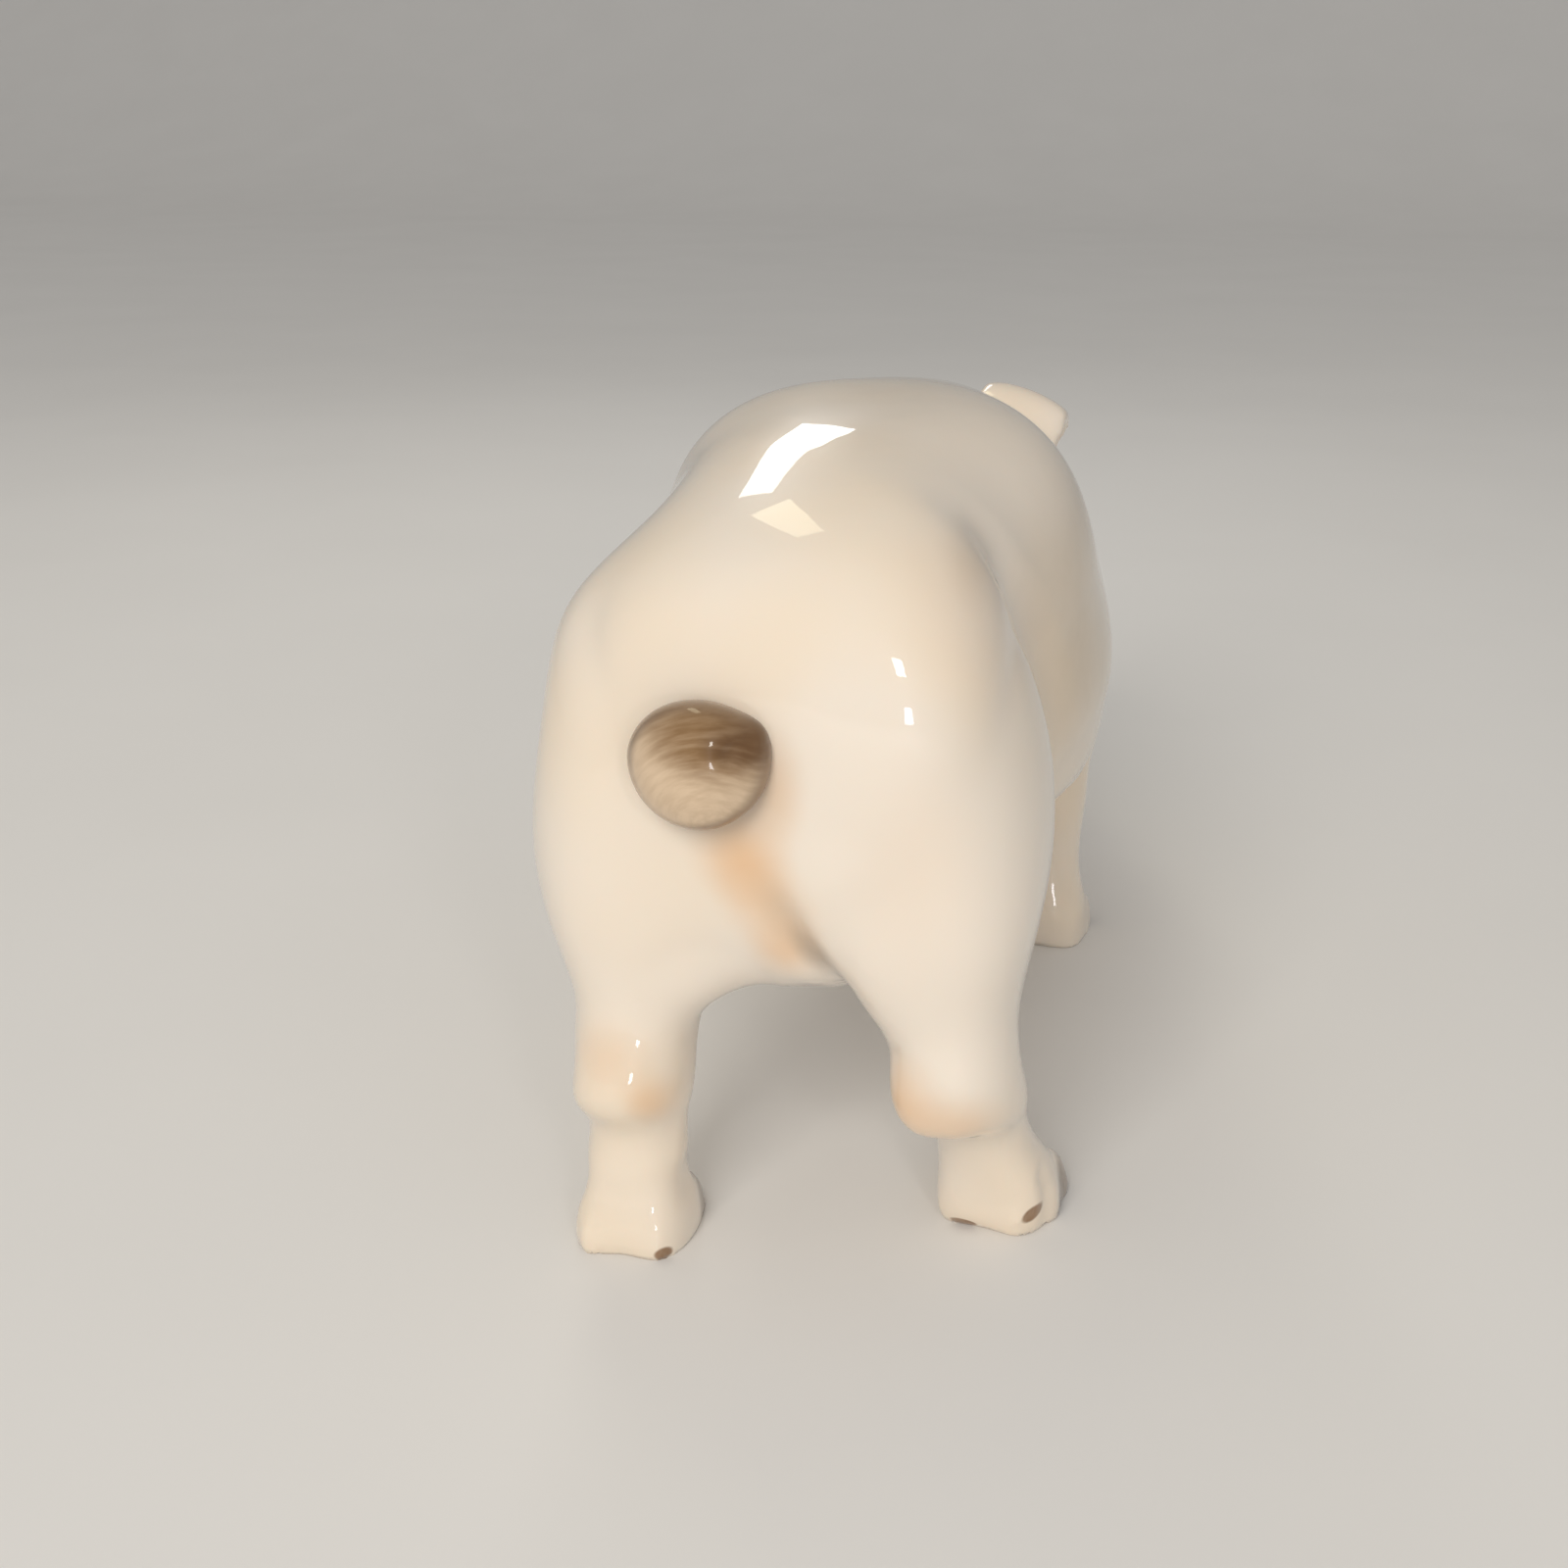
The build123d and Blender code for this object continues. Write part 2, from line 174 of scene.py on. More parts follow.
def merged_copy(name, nodes, plug=False):
    """One piece that holds merged copies of castings, with the belly's vent plugged on request."""
    shell = bmesh.new()
    for node in nodes:
        shell.from_mesh(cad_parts[node].data)
    bmesh.ops.remove_doubles(shell, verts=shell.verts, dist=WELD_REACH * MM)
    if plug:
        radius = VENT_PLUG_RADIUS * MM
        place = Matrix.Translation(Vector(VENT_PLUG_PLACE) * MM)
        bmesh.ops.create_cone(
            shell, cap_ends=True, segments=VENT_PLUG_SIDES, radius1=radius, radius2=radius,
            depth=VENT_PLUG_HEIGHT * MM, matrix=place,
        )
    mesh = bpy.data.meshes.new(name)
    shell.to_mesh(mesh)
    shell.free()
    return new_object(name, mesh)


def even_skin(piece, grain):
    """Turns a piece into one even closed skin of small faces."""
    remesh = piece.modifiers.new("even_skin", "REMESH")
    remesh.mode = "VOXEL"
    remesh.voxel_size = grain * MM
    remesh.use_smooth_shade = True
    finish_mesh(piece)


def refine(piece, centre, reach):
    """Divides the faces near a place into smaller ones, for finer modelling there."""
    shell = bmesh.new()
    shell.from_mesh(piece.data)
    middle = Vector(centre) * MM
    chosen = [
        edge for edge in shell.edges
        if ((edge.verts[0].co + edge.verts[1].co) / 2 - middle).length < reach * MM
    ]
    bmesh.ops.subdivide_edges(shell, edges=chosen, cuts=1, use_grid_fill=True)
    for face in shell.faces:
        face.smooth = True
    shell.to_mesh(piece.data)
    shell.free()


class Surface:
    """A mesh's points as arrays in millimetres, for smoothing and modelling by masks."""

    def __init__(self, mesh):
        self.mesh = mesh
        count = len(mesh.vertices)
        flat = np.empty(count * 3)
        mesh.vertices.foreach_get("co", flat)
        self.points = flat.reshape(-1, 3) / MM
        ends = np.empty(len(mesh.edges) * 2, int)
        mesh.edges.foreach_get("vertices", ends)
        self.ends = ends.reshape(-1, 2)
        self.links = np.bincount(ends, minlength=count)

    def pull(self):
        """How far each point lies from the middle of its neighbours."""
        first, second = self.ends.T
        middle = np.empty_like(self.points)
        for axis in range(3):
            column = self.points[:, axis]
            total = np.bincount(first, column[second], len(column))
            total += np.bincount(second, column[first], len(column))
            middle[:, axis] = total / self.links
        return middle - self.points

    def relax(self, rounds, mask=None):
        """Draws the points towards their neighbours, as far as the mask says."""
        share = RELAX_SHARE if mask is None else RELAX_SHARE * mask[:, None]
        for _ in range(rounds):
            self.points += share * self.pull()

    def steady_relax(self, rounds, mask=None):
        """Smooths out kinks but keeps the size, by turns of drawing in and letting out."""
        share = 1.0 if mask is None else mask[:, None]
        for _ in range(rounds):
            self.points += DRAW_IN * share * self.pull()
            self.points -= LET_OUT * share * self.pull()

    def blend(self, table):
        """Relaxes the place of each row: rounds, a line and its reach or a middle and its radii."""
        for rounds, place, reach in table:
            mask = self.near_line(place, reach) if isinstance(place, list) else self.near(place, reach)
            self.relax(rounds, mask)

    def normals(self):
        """The outward direction at each point."""
        self.store()
        flat = np.empty(len(self.points) * 3)
        self.mesh.vertex_normals.foreach_get("vector", flat)
        return flat.reshape(-1, 3)

    def push(self, amount):
        """Moves the points outwards by an amount for each, in millimetres."""
        self.points += self.normals() * amount[:, None]

    def near_line(self, line, reach):
        """1 on a line of points, falling smoothly to 0 at a reach from it."""
        return falloff(self.line_distance(line)[0] / reach)

    def line_distance(self, line):
        """Each point's distance from a line of points, and how far along the line it is, from 0 to 1."""
        line = np.asarray(line, float)
        best = np.full(len(self.points), np.inf)
        along = np.zeros(len(self.points))
        spans = len(line) - 1
        for index in range(spans):
            start, span = line[index], line[index + 1] - line[index]
            part = np.clip((self.points - start) @ span / (span @ span), 0, 1)
            distance = np.linalg.norm(self.points - start - part[:, None] * span, axis=1)
            nearer = distance < best
            best[nearer] = distance[nearer]
            along[nearer] = (index + part[nearer]) / spans
        return best, along

    def near(self, centre, radii):
        """1 in the middle of an ellipsoid, falling smoothly to 0 at its surface."""
        return falloff(np.linalg.norm((self.points - centre) / radii, axis=1))

    def store(self):
        """Writes the points back to the mesh."""
        self.mesh.vertices.foreach_set("co", (self.points * MM).ravel())
        self.mesh.update()


def falloff(distance):
    """1 at distance 0, 0 from distance 1 on, smooth in between."""
    rest = 1 - np.clip(distance, 0, 1)
    return rest * rest * (3 - 2 * rest)


class Link:
    """A socket in shader maths: the operators on it add Math nodes."""

    def __init__(self, paint, socket):
        self.paint = paint
        self.socket = socket

    def maths(self, operation, *values):
        """Adds a Math node on some values or links."""
        return self.paint.node("Math", {"operation": operation}, dict(enumerate(values)))

    def __add__(self, other):
        return self.maths("ADD", self, other)

    def __sub__(self, other):
        return self.maths("SUBTRACT", self, other)

    def __rsub__(self, other):
        return self.maths("SUBTRACT", other, self)

    def __mul__(self, other):
        return self.maths("MULTIPLY", self, other)

    __radd__ = __add__
    __rmul__ = __mul__


class Paint:
    """One material and the nodes that make it."""

    def __init__(self, name, roughness, coat=0.0):
        self.material = bpy.data.materials.new(name)
        self.material.use_nodes = True
        self.tree = self.material.node_tree
        self.shader = self.tree.nodes["Principled BSDF"]
        self.shader.inputs["Roughness"].default_value = roughness
        self.shader.inputs["Coat Weight"].default_value = coat
        self.shader.inputs["Coat Roughness"].default_value = COAT_ROUGHNESS
        self.shader.inputs["Specular IOR Level"].default_value = SPECULAR
        self.place = self.node("TexCoord", output="Object")

    def node(self, kind, settings=None, inputs=None, output=0):
        """Adds a node with its settings, and values or links on its sockets, and gives one output."""
        node = self.tree.nodes.new("ShaderNode" + kind)
        for name, value in (settings or {}).items():
            setattr(node, name, value)
        for name, value in (inputs or {}).items():
            if isinstance(value, Link):
                self.tree.links.new(value.socket, node.inputs[name])
            else:
                node.inputs[name].default_value = value
        return Link(self, node.outputs[output])

    def ease(self, value, start, end):
        """0 up to a start and 1 from an end on, smooth in between."""
        settings = {"interpolation_type": "SMOOTHSTEP"}
        return self.node("MapRange", settings, {"Value": value, "From Min": start, "From Max": end})

    def parts(self, centre):
        """The object's own coordinates from a centre in millimetres, as three links."""
        node = self.node("VectorMath", {"operation": "SUBTRACT"}, {0: self.place, 1: Vector(centre) * MM})
        split = self.node("SeparateXYZ", {}, {"Vector": node}).socket.node
        return [Link(self, output) for output in split.outputs]

    def spot(self, centre, radii, core=0.0, turn=(0.0, 0.0, 0.0)):
        """1 within the core of an ellipsoid, falling to 0 at its surface, by the object's own coordinates."""
        place = self.node("Mapping", {"vector_type": "TEXTURE"}, {
            "Vector": self.place,
            "Location": Vector(centre) * MM,
            "Rotation": [math.radians(angle) for angle in turn],
            "Scale": Vector(radii) * MM,
        })
        distance = self.node("VectorMath", {"operation": "LENGTH"}, {0: place}, output="Value")
        return self.ease(distance, 1.0, core)

    def noise(self, size, detail=2.0, stretch=(1, 1, 1)):
        """Cloudy noise from 0 to 1 with spots of about a size in millimetres."""
        place = self.node("Mapping", {}, {"Vector": self.place, "Scale": stretch})
        return self.node("TexNoise", {}, {"Vector": place, "Scale": 1 / (size * MM), "Detail": detail})

    def mix(self, under, over, share):
        """One colour laid over another by a share."""
        colours = [value if isinstance(value, Link) else (*value, 1) for value in (under, over)]
        inputs = dict(zip(MIX_INPUTS, (share, *colours)))
        return self.node("Mix", {"data_type": "RGBA"}, inputs, output=MIX_OUTPUT)

    def feed(self, socket, value):
        """Links a value to one of the shader's sockets."""
        self.tree.links.new(value.socket, self.shader.inputs[socket])

    def bump(self, height, depth):
        """Lets a height from 0 to 1 stand proud by a depth in millimetres."""
        normal = self.node("Bump", {}, {"Height": height, "Distance": depth * MM, "Strength": 1.0})
        self.feed("Normal", normal)


def dress(piece, paint, slot, *nodes):
    """Gives a piece its paint and its place in the frame."""
    piece.data.materials.clear()
    piece.data.materials.append(paint.material)
    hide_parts(*nodes)
    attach(piece, "root")


# Where the castings meet, and the folds that the modeller left
LEFT_ARCH = [(4.5, 62, 27), (4.5, 56, 25.5), (5.5, 48, 25), (8, 40, 25.5)]
RUMP_VALLEY = [(3, 62, 52), (4, 62, 42), (6, 61, 33), (6, 58, 28)]
LEFT_HAM_EDGE = [(9, 50, 66), (15, 43, 60), (20, 38, 52), (22, 34, 42), (21, 32, 32)]
LEFT_FLANK_FOLD = [(19, 32, 64), (22.5, 28, 54), (23, 25, 44), (20, 22, 32)]
CROTCH_FOLD = [(-1.0, 62, 38.5), (-2.2, 61.5, 35.5), (-3.8, 60.5, 32), (-6.0, 57.5, 27.5), (-7.2, 53, 25)]
HAM_FOLD = [
    (-13.5, 44, 66), (-16.5, 42, 62), (-18.8, 38, 56.5), (-20, 32, 50), (-20.3, 28, 44), (-20.3, 25, 38),
]

# Where the castings blend: rounds, then a line and its reach or a middle and its radii
BLENDS = [
    (150, RUMP_VALLEY, 11),
    (160, LEFT_ARCH, 6),
    (400, LEFT_HAM_EDGE, 13),
    (300, (-9, 38, 64), (12, 12, 9)),
    (80, LEFT_FLANK_FOLD, 10),
]

# Fuller and leaner places: how far out, middle and radii
FULL_PLACES = [
    (1.2, (-22, 8, 41), (9, 28, 13)),
    (2.0, (-19, 5, 31), (9, 24, 9)),
    (1.8, (-18.5, -2, 27), (7, 18, 8)),
    (-0.9, (-21, -21, 40), (6, 11, 17)),
    (1.0, (5.5, 59, 25.5), (6, 8, 6)),
    (-0.5, (-4.0, 56, 25.0), (4, 6, 4)),
    (-0.5, (24, 50, 48), (6, 16, 16)),
    (-0.3, (18.0, 60, 17.5), (3.5, 5, 4)),
    (1.2, (-12.2, 57, 17.2), (4.5, 6, 5)),
    (-1.0, (12.4, 57, 5.2), (16, 16, 4.2)),
    (-1.0, (5.0, 51.5, 3.5), (4.5, 6, 4.5)),
    (0.8, (6.0, 58, 11), (3.5, 6, 6)),
    (0.6, (12.4, 57, 0.5), (16, 16, 3.5)),
    (1.2, (-24.8, 46.0, 0.8), (3.2, 4.5, 4.0)),
    (0.8, (-26.0, 41.0, 0.8), (4, 4.5, 3.2)),
    (0.6, (-14.5, 58.5, 46), (9, 11, 21)),
]

# Hocks that hang lower: which way, middle and radii
HANGING_PLACES = [
    ((0.3, 0.2, -1.3), (-13.5, 59, 14.5), (7, 5, 5.5)),
    ((0.4, 0.2, -0.3), (16.5, 62, 15.5), (5, 5, 5)),
]

# Places that are softened after that: rounds, middle and radii
SOFT_PLACES = [
    (10, (-21, 0, 40), (10, 34, 20)),
    (40, (13, 62, 12.0), (7, 6, 6)),
    (50, (8.5, 61.5, 4.5), (4, 5, 5)),
    (150, (-15, 57, 40), (10, 13, 16)),
]

# The fold under the tail, which gets deeper downwards, and the ham that stands proud beside it
CROTCH_DEPTH = 1.0
CROTCH_DEEPENING = 2
CROTCH_LEAST = 0.1
CROTCH_REACH = 2.4
CROTCH_SOFTENING = [(4, CROTCH_FOLD, 8)]
CROTCH_HAM_SHIFT = (-5, 0, -1)
CROTCH_HAM_REACH = 6
CROTCH_HAM_PUSH = 0.6

# The hollow beside the right ham, deepest near its middle
HAM_FOLD_DEPTH = 1.3
HAM_FOLD_MIDDLE = 0.45
HAM_FOLD_FADE = 0.6
HAM_FOLD_REACH = 5.5
HAM_FOLD_SOFTENING = [(6, HAM_FOLD, 9)]

# The feet: softened low down, and flat under the sole. The first groove lies between heel and outer toe
FEET_ROUNDS = 14
FEET_SOFT_HEIGHT = 4.5
TOE_GROOVES = [
    [(-23.4, 48.4, 5.5), (-24.2, 47.6, 0.5)],
]
TOE_GROOVE_DEPTH = 0.40
TOE_GROOVE_REACH = 2.0
SOLE_TOP = 3.2
SOLE_FLAT = 1.3
SOLE_RISE = 1.9

# The tail
TAIL_GRAIN = 0.22
TAIL_FILLS = [((4.1, 63.6, 48.4), (5.7, 4.3, 5.0)), ((0.7, 63.2, 49.6), (2.6, 3.0, 3.2))]
TAIL_FILL_STEPS = 4
TAIL_GROOVE = [(0.6, 66.8, 50.4), (-0.4, 66.0, 51.3), (-1.6, 64.5, 52.3)]
TAIL_GROOVE_DEPTH = 0.35
TAIL_GROOVE_REACH = 1.4
TAIL_FIRST_ROUNDS = 70
TAIL_LEFT_START = 0.5
TAIL_LEFT_FADE = 2.5
TAIL_LEFT_ROUNDS = 40
TAIL_LEFT_PUSH = 0.35
TAIL_ROUNDS = 90
TAIL_PUSH = 0.2
TAIL_STEADY_ROUNDS = 10
TAIL_LAST_ROUNDS = 8

# The eyes, their lids and their brows
EYE_PLACE = (7.9, -49.2, 51.8)
EYE_SHAPE = (1, 1, 0.9)
EYE_RADIUS = 1.9
EYE_PUSH = 0.55
EYE_FULLNESS = 0.5
EYE_HALF_HEIGHT = 1.2
LID_REACH = 2.5
LID_WIDTH = 0.85
LID_PUSH = 0.5
UPPER_LID_PUSH = 0.2
BROW_PLACE = (7.6, -48.0, 55.2)
BROW_RADII = (3.2, 4, 2.4)
BROW_PUSH = 0.5

# The snout's dish and rim, and the nostrils
SNOUT_PLACE = (0, -66.6, 40.0)
SNOUT_FRONT_Y = -64.6
SNOUT_DISH_DEPTH = 0.45
SNOUT_DISH_REACH = 6.2
SNOUT_RIM_PUSH = 0.30
SNOUT_RIM_REACH = 6.4
SNOUT_RIM_WIDTH = 1.3
SNOUT_SOFT_REACH = 9
NOSTRIL_PLACE = (2.4, -66.6, 40.0)
NOSTRIL_RADII = (1.25, 1.75)
NOSTRIL_DEPTH = 2.0
NOSTRIL_STEEPNESS = 1.4
NOSTRIL_RIM_PUSH = 0.25
NOSTRIL_RIM_REACH = 1.3
NOSTRIL_RIM_WIDTH = 0.5

# The mouth starts at a Y and a Z. Its pushes are: how far out, how far below its line, and reach
MOUTH_START = (-64.5, 36.2)
MOUTH_LENGTH = 15.0
MOUTH_SLOPE = 0.158
MOUTH_SPAN = (-0.12, 1.2)
MOUTH_BAND = 4
MOUTH_INNER_X = 1
MOUTH_ROUNDS = 12
MOUTH_SOFT_REACH = 3
MOUTH_FADE_END = 1.1
MOUTH_FADE = 0.3
MOUTH_PUSHES = [(-0.55, 0, 0.9), (0.25, 1.4, 1.3)]
MUZZLE_WRINKLES = [
    [(-6.6, -60.5, 41), (-4.9, -61.6, 45.6), (0, -62.0, 47.6), (4.9, -61.6, 45.6), (6.6, -60.5, 41)],
    [(-6.4, -57.5, 45), (-3.6, -58.6, 48.0), (0, -58.9, 49.2), (3.6, -58.6, 48.0), (6.4, -57.5, 45)],
]
WRINKLE_DEPTH = 0.28
WRINKLE_REACH = 1.1


def model_skin():
    """The one skin of glaze over the trunk, head, ears and legs."""
    castings = ["trunk", "head", "left_ear", "right_ear"]
    legs = ["rear_left_leg", "rear_right_leg", "front_left_leg", "front_right_leg"]
    skin = merged_copy("glaze_skin", castings + legs, plug=True)
    even_skin(skin, SKIN_GRAIN)
    refine(skin, SNOUT_PLACE, SNOUT_FINE_REACH)
    for side in (-1, 1):
        x, y, z = EYE_PLACE
        for reach in EYE_FINE_REACHES:
            refine(skin, (side * x, y, z), reach)
    surface = Surface(skin.data)
    surface.relax(FIRST_ROUNDS)
    smooth_body(surface)
    fill_out(surface)
    shape_crotch(surface)
    shape_ham_fold(surface)
    flatten_feet(surface)
    shape_face(surface)
    surface.store()
    return skin


def smooth_body(surface):
    """Blends the castings into each other, as slip and glaze do."""
    height = surface.points[:, 2]
    body = np.clip((height - FOOT_HEIGHT) / FOOT_FADE, 0, 1)
    body *= np.clip((surface.points[:, 1] - NECK_Y) / NECK_FADE, 0, 1)
    surface.steady_relax(BODY_ROUNDS, body)
    surface.blend(BLENDS)
    ears = np.clip((height - EAR_HEIGHT) / EAR_FADE, 0, 1)
    ears *= np.clip((NECK_Y - surface.points[:, 1]) / EAR_FADE, 0, 1)
    surface.steady_relax(EAR_ROUNDS, ears)


def fill_out(surface):
    """Fuller places between the castings, leaner ones, and hocks that hang lower."""
    for amount, centre, radii in FULL_PLACES:
        surface.push(amount * surface.near(centre, radii))
    for way, centre, radii in HANGING_PLACES:
        surface.points += surface.near(centre, radii)[:, None] * way
    surface.blend(SOFT_PLACES)


def shape_crotch(surface):
    """The fold from under the tail down to the right leg, with the ham standing proud beside it."""
    distance, along = surface.line_distance(CROTCH_FOLD)
    depth = CROTCH_DEPTH * np.clip(along * CROTCH_DEEPENING, CROTCH_LEAST, 1)
    surface.push(-depth * falloff(distance / CROTCH_REACH))
    ham = surface.near_line(np.add(CROTCH_FOLD, CROTCH_HAM_SHIFT), CROTCH_HAM_REACH)
    surface.push(CROTCH_HAM_PUSH * ham)
    surface.blend(CROTCH_SOFTENING)


def shape_ham_fold(surface):
    """The soft hollow between the right ham and the flank."""
    distance, along = surface.line_distance(HAM_FOLD)
    ends = falloff(np.abs(along - HAM_FOLD_MIDDLE) / HAM_FOLD_FADE)
    surface.push(-HAM_FOLD_DEPTH * ends * falloff(distance / HAM_FOLD_REACH))
    surface.blend(HAM_FOLD_SOFTENING)


def flatten_feet(surface):
    """Softens and grooves the feet, and brings the heels down, so that each foot stands flat."""
    surface.relax(FEET_ROUNDS, falloff(surface.points[:, 2] / FEET_SOFT_HEIGHT))
    for line in TOE_GROOVES:
        surface.push(-TOE_GROOVE_DEPTH * surface.near_line(line, TOE_GROOVE_REACH))
    height = surface.points[:, 2]
    low = height < SOLE_TOP
    height[low] = np.clip((height[low] - SOLE_FLAT) * SOLE_TOP / SOLE_RISE, 0, None)


def shape_face(surface):
    """The mouth, the muzzle's wrinkles, the eyes and the snout, alike on both sides."""
    side = np.where(surface.points[:, 0] > 0, 1, -1)
    same = np.ones_like(side)
    mirrored = surface.points * np.stack([side, same, same], axis=1)
    shape_mouth(surface, mirrored)
    for line in MUZZLE_WRINKLES:
        surface.push(-WRINKLE_DEPTH * surface.near_line(line, WRINKLE_REACH))
    shape_eyes(surface, mirrored)
    shape_snout(surface, mirrored)


def shape_mouth(surface, mirrored):
    """The line of the mouth with the lip under it, fading out on the cheek."""
    start_y, start_z = MOUTH_START
    rise = mirrored[:, 2] - start_z - MOUTH_SLOPE * (mirrored[:, 1] - start_y)
    along = (mirrored[:, 1] - start_y) / MOUTH_LENGTH
    jaw = (along > MOUTH_SPAN[0]) & (along < MOUTH_SPAN[1])
    jaw = jaw & (np.abs(rise) < MOUTH_BAND) & (mirrored[:, 0] > MOUTH_INNER_X)
    surface.relax(MOUTH_ROUNDS, jaw * falloff(np.abs(rise) / MOUTH_SOFT_REACH))
    fade = np.clip((MOUTH_FADE_END - along) / MOUTH_FADE, 0, 1) * jaw
    for amount, drop, reach in MOUTH_PUSHES:
        surface.push(amount * fade * falloff(np.abs(rise + drop) / reach))


def shape_eyes(surface, mirrored):
    """Round eyes, with lids around them and a brow over each."""
    eye = np.linalg.norm((mirrored - EYE_PLACE) / EYE_SHAPE, axis=1)
    above = np.clip((mirrored[:, 2] - EYE_PLACE[2]) / EYE_HALF_HEIGHT, -1, 1)
    surface.push(EYE_PUSH * falloff(eye / EYE_RADIUS) ** EYE_FULLNESS)
    surface.push((LID_PUSH + UPPER_LID_PUSH * above) * falloff(np.abs(eye - LID_REACH) / LID_WIDTH))
    brow = np.linalg.norm((mirrored - BROW_PLACE) / BROW_RADII, axis=1)
    surface.push(BROW_PUSH * falloff(brow))


def shape_snout(surface, mirrored):
    """The dished snout with its rim, and the nostrils with theirs."""
    disc = np.linalg.norm(surface.points - SNOUT_PLACE, axis=1)
    front = surface.points[:, 1] < SNOUT_FRONT_Y
    surface.push(-SNOUT_DISH_DEPTH * falloff(disc / SNOUT_DISH_REACH) * front)
    rim = falloff(np.abs(disc - SNOUT_RIM_REACH) / SNOUT_RIM_WIDTH)
    surface.push(SNOUT_RIM_PUSH * rim * front)
    nostril = np.linalg.norm((mirrored - NOSTRIL_PLACE)[:, [0, 2]] / NOSTRIL_RADII, axis=1)
    surface.push(-NOSTRIL_DEPTH * np.clip(NOSTRIL_STEEPNESS * falloff(nostril), 0, 1) * front)
    rim = falloff(np.abs(nostril - NOSTRIL_RIM_REACH) / NOSTRIL_RIM_WIDTH)
    surface.push(NOSTRIL_RIM_PUSH * rim * front)
    surface.relax(1, falloff(disc / SNOUT_SOFT_REACH))


def model_tail():
    """The tail, one smooth mass on its left, with the groove of the curl on its right."""
    tail = merged_copy("tail_glaze", ["tail"])
    shell = bmesh.new()
    shell.from_mesh(tail.data)
    for centre, radii in TAIL_FILLS:
        place = Matrix.Translation(Vector(centre) * MM) @ Matrix.Diagonal((*radii, 1))
        bmesh.ops.create_icosphere(shell, subdivisions=TAIL_FILL_STEPS, radius=MM, matrix=place)
    shell.to_mesh(tail.data)
    shell.free()
    even_skin(tail, TAIL_GRAIN)
    surface = Surface(tail.data)
    surface.relax(TAIL_FIRST_ROUNDS)
    left_side = np.clip((surface.points[:, 0] - TAIL_LEFT_START) / TAIL_LEFT_FADE, 0, 1)
    surface.relax(TAIL_LEFT_ROUNDS, left_side)
    surface.push(TAIL_LEFT_PUSH * left_side)
    surface.relax(TAIL_ROUNDS)
    surface.push(np.full(len(surface.points), TAIL_PUSH))
    surface.push(-TAIL_GROOVE_DEPTH * surface.near_line(TAIL_GROOVE, TAIL_GROOVE_REACH))
    surface.steady_relax(TAIL_STEADY_ROUNDS)
    surface.relax(TAIL_LAST_ROUNDS)
    surface.store()
    return tail


# Airbrushed tones and painted shade: colour, strength, middle, radii and turn in degrees
TINTS_AND_SHADE = [
    # The upper back: an olive tint, partly painted shade where the back turns from the light
    (OLIVE_TINT_AND_SHADE, 0.42, (-4, 5, 78), (26, 70, 22), (0, 0, 0)),
    # Painted shade on the right flank, which faces away from the light
    (OLIVE_TINT_AND_SHADE, 0.72, (-26, 18, 50), (15, 46, 30), (0, 0, 0)),
    # Painted shade along the hollow beside the right ham
    (OLIVE_TINT_AND_SHADE, 0.40, (-15.5, 47, 63), (4.5, 9, 7), (0, 0, 0)),
    (SHADE_BROWN, 0.42, (-19.5, 37, 51), (3.8, 10, 12), (0, 10, 0)),
    (OLIVE_TINT_AND_SHADE, 0.32, (-21.5, 36, 36), (3.5, 12, 13), (0, 0, 0)),
    (PEACH, 0.20, (-14, 52, 58), (9, 11, 14), (0, 0, 0)),
    (PEACH, 0.12, (-13, 60, 40), (8, 9, 14), (0, 0, 0)),
    (PEACH, 0.30, (24, 42, 57), (7, 18, 14), (0, 0, 0)),
    (PEACH, 0.78, (1.0, 63, 39.8), (5.4, 7, 6.4), (0, 20, 0)),
    (PEACH, 0.50, (-1.0, 61, 35.5), (5.2, 7, 8.0), (0, 24, 0)),
    (PEACH, 0.50, (-2.0, 60, 31.2), (4.2, 6, 5.0), (0, 10, 0)),
    (PEACH, 0.40, (-2.0, 62, 46.0), (3.0, 6, 7.0), (0, 0, 0)),
    # Painted shadow of the tail on the rump beneath it
    (SHADE_BROWN, 0.80, (2.9, 61, 47.0), (8.8, 6, 7.8), (0, 0, 0)),
    # Painted shade in the fold under the tail
    (SHADE_BROWN, 0.34, (-2.6, 60, 34.5), (3.0, 5, 7.5), (0, 27, 0)),
    (SHADE, 0.60, (-4.6, 59, 30.6), (1.9, 5, 5.2), (0, 30, 0)),
    (PEACH, 0.32, (13.4, 62, 20.0), (5.4, 6, 4.6), (0, 0, 0)),
    (PEACH, 0.55, (9.6, 62, 16.2), (2.8, 7, 4.2), (0, 24, 0)),
    (PEACH, 0.62, (-11.5, 60, 17.2), (6.0, 7, 6.5), (0, 0, 0)),
    (PEACH, 0.62, (-17.0, 61, 15.4), (8.0, 7, 5.0), (0, 0, 0)),
    (PINK, 0.50, (0, -68, 39.5), (9.5, 9, 9.5), (0, 0, 0)),
    (PEACH, 0.25, (0, -58, 37), (12, 12, 14), (0, 0, 0)),
    (PEACH, 0.25, (0, 10, 20), (16, 40, 9), (0, 0, 0)),
]
SPRAYS_ON_BOTH_SIDES = [
    (PINK, 0.45, (9.0, -41.5, 57.0), (5.5, 3.5, 5.5)),
    (PEACH, 0.30, (8, -38, 62), (8, 8, 5)),
    (PEACH, 0.22, (14, -26, 12), (8, 14, 6)),
]

